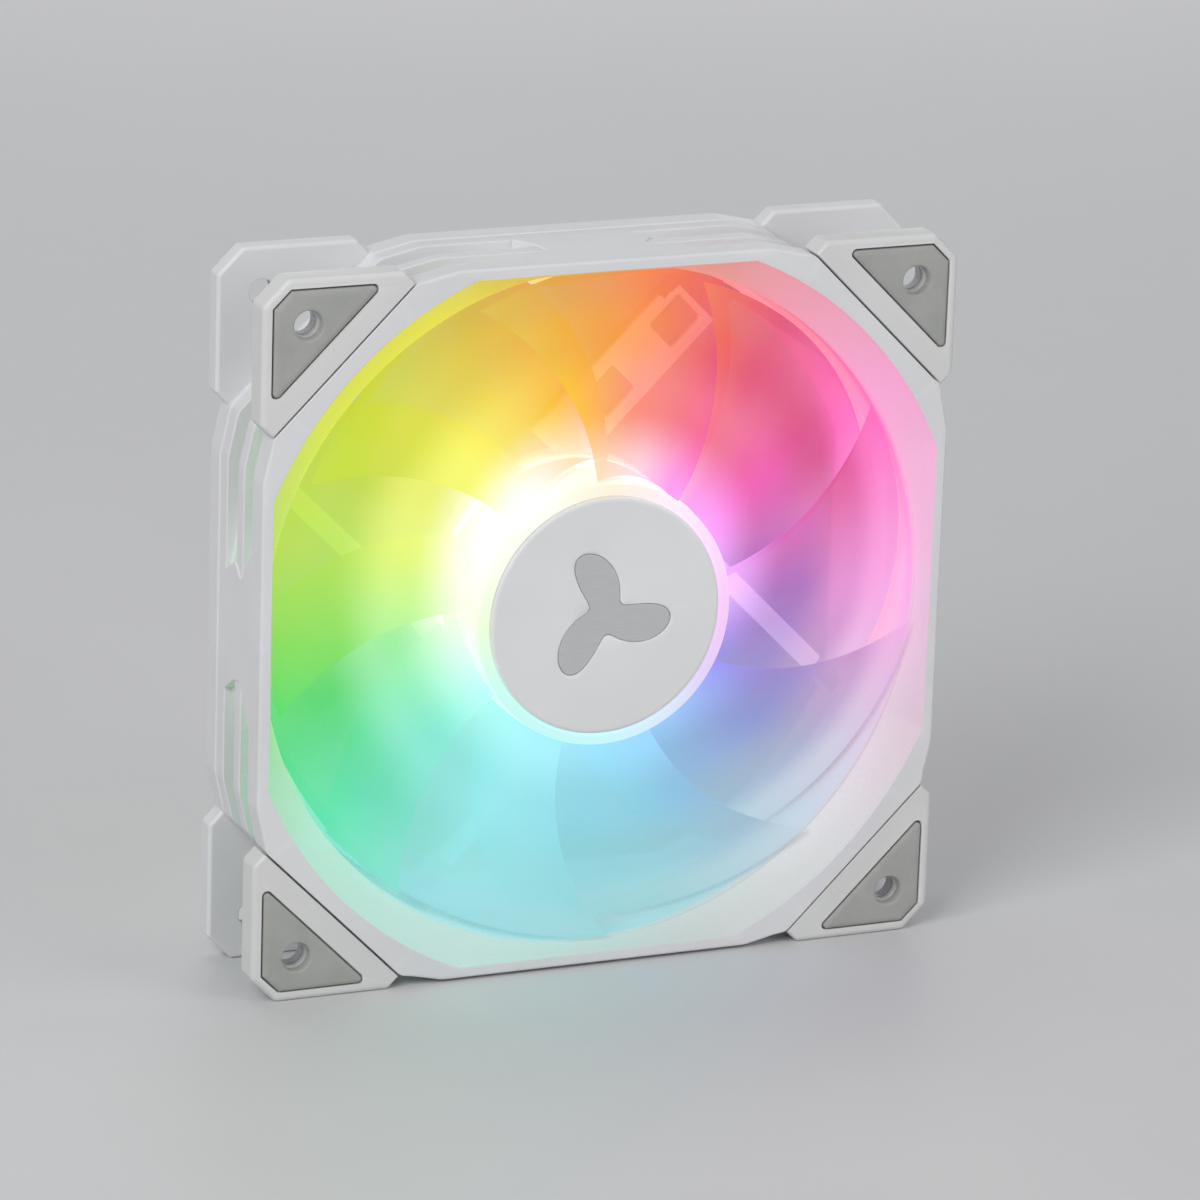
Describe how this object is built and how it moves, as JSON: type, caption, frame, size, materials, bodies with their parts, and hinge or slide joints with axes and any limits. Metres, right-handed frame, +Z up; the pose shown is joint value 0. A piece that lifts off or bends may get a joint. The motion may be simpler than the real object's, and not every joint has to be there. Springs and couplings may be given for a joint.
{
  "type": "case fan",
  "caption": "Square computer case fan with a lit translucent impeller on a hub motor, corner caps with rubber pads, rear struts and screw holes.",
  "frame": {"origin": "on the rotor's axis, at half of the depth over the pads", "axes": "+X right and +Z up as seen from the intake side, +Y along the axis from the intake side to the outlet side"},
  "size_m": [0.12, 0.0258, 0.12],
  "materials": {
    "frame_plastic": "fine satin moulding texture",
    "cap_plastic": "fine satin moulding texture",
    "pad_rubber": "matte soft rubber",
    "blade_plastic": "frosted translucent",
    "hub_cap_plastic": "satin",
    "emblem_grey": "satin",
    "steel": "turned",
    "magnet": "bonded ferrite",
    "brass": "turned",
    "dark_plastic": "matte",
    "seal_rubber": "matte",
    "sintered": "sintered, matte",
    "core_steel": "laminated",
    "copper": "enamelled wire",
    "board_green": "solder mask",
    "led_lens": "clear lens over phosphor",
    "chip_black": "moulded epoxy",
    "ceramic": "ceramic",
    "label_white": "blank printed film"
  },
  "bodies": {
    "frame": {"frame": "frame_plastic", "corner_cap_top_right": "cap_plastic", "front_pad_top_right": "pad_rubber", "rear_pad_top_right": "pad_rubber", "corner_cap_top_left": "cap_plastic", "front_pad_top_left": "pad_rubber", "rear_pad_top_left": "pad_rubber", "corner_cap_bottom_left": "cap_plastic", "front_pad_bottom_left": "pad_rubber", "rear_pad_bottom_left": "pad_rubber", "corner_cap_bottom_right": "cap_plastic", "front_pad_bottom_right": "pad_rubber", "rear_pad_bottom_right": "pad_rubber", "bearing_tube": "brass", "oil_seal": "seal_rubber", "bearing_sleeve": "sintered", "thrust_washer": "dark_plastic", "bearing_plug": "dark_plastic", "stator_core": "core_steel", "insulator_front": "dark_plastic", "insulator_rear": "dark_plastic", "coil_1": "copper", "coil_2": "copper", "coil_3": "copper", "coil_4": "copper", "motor_board": "board_green", "led_1": "led_lens", "led_2": "led_lens", "led_3": "led_lens", "led_4": "led_lens", "led_5": "led_lens", "led_6": "led_lens", "led_7": "led_lens", "led_8": "led_lens", "driver_ic": "chip_black", "hall_sensor": "chip_black", "filter_capacitor": "ceramic", "rear_label": "label_white"},
    "rotor": {"impeller": "blade_plastic", "hub_cap": "hub_cap_plastic", "cap_emblem": "emblem_grey", "rotor_yoke": "steel", "ring_magnet": "magnet", "shaft_bushing": "brass", "shaft": "steel", "retaining_ring": "dark_plastic"}
  },
  "joints": [
    {"name": "rotor_spin", "type": "hinge", "parent": "frame", "child": "rotor", "pos_m": [0, 0, 0], "axis": [0, -1, 0], "continuous": true}
  ]
}
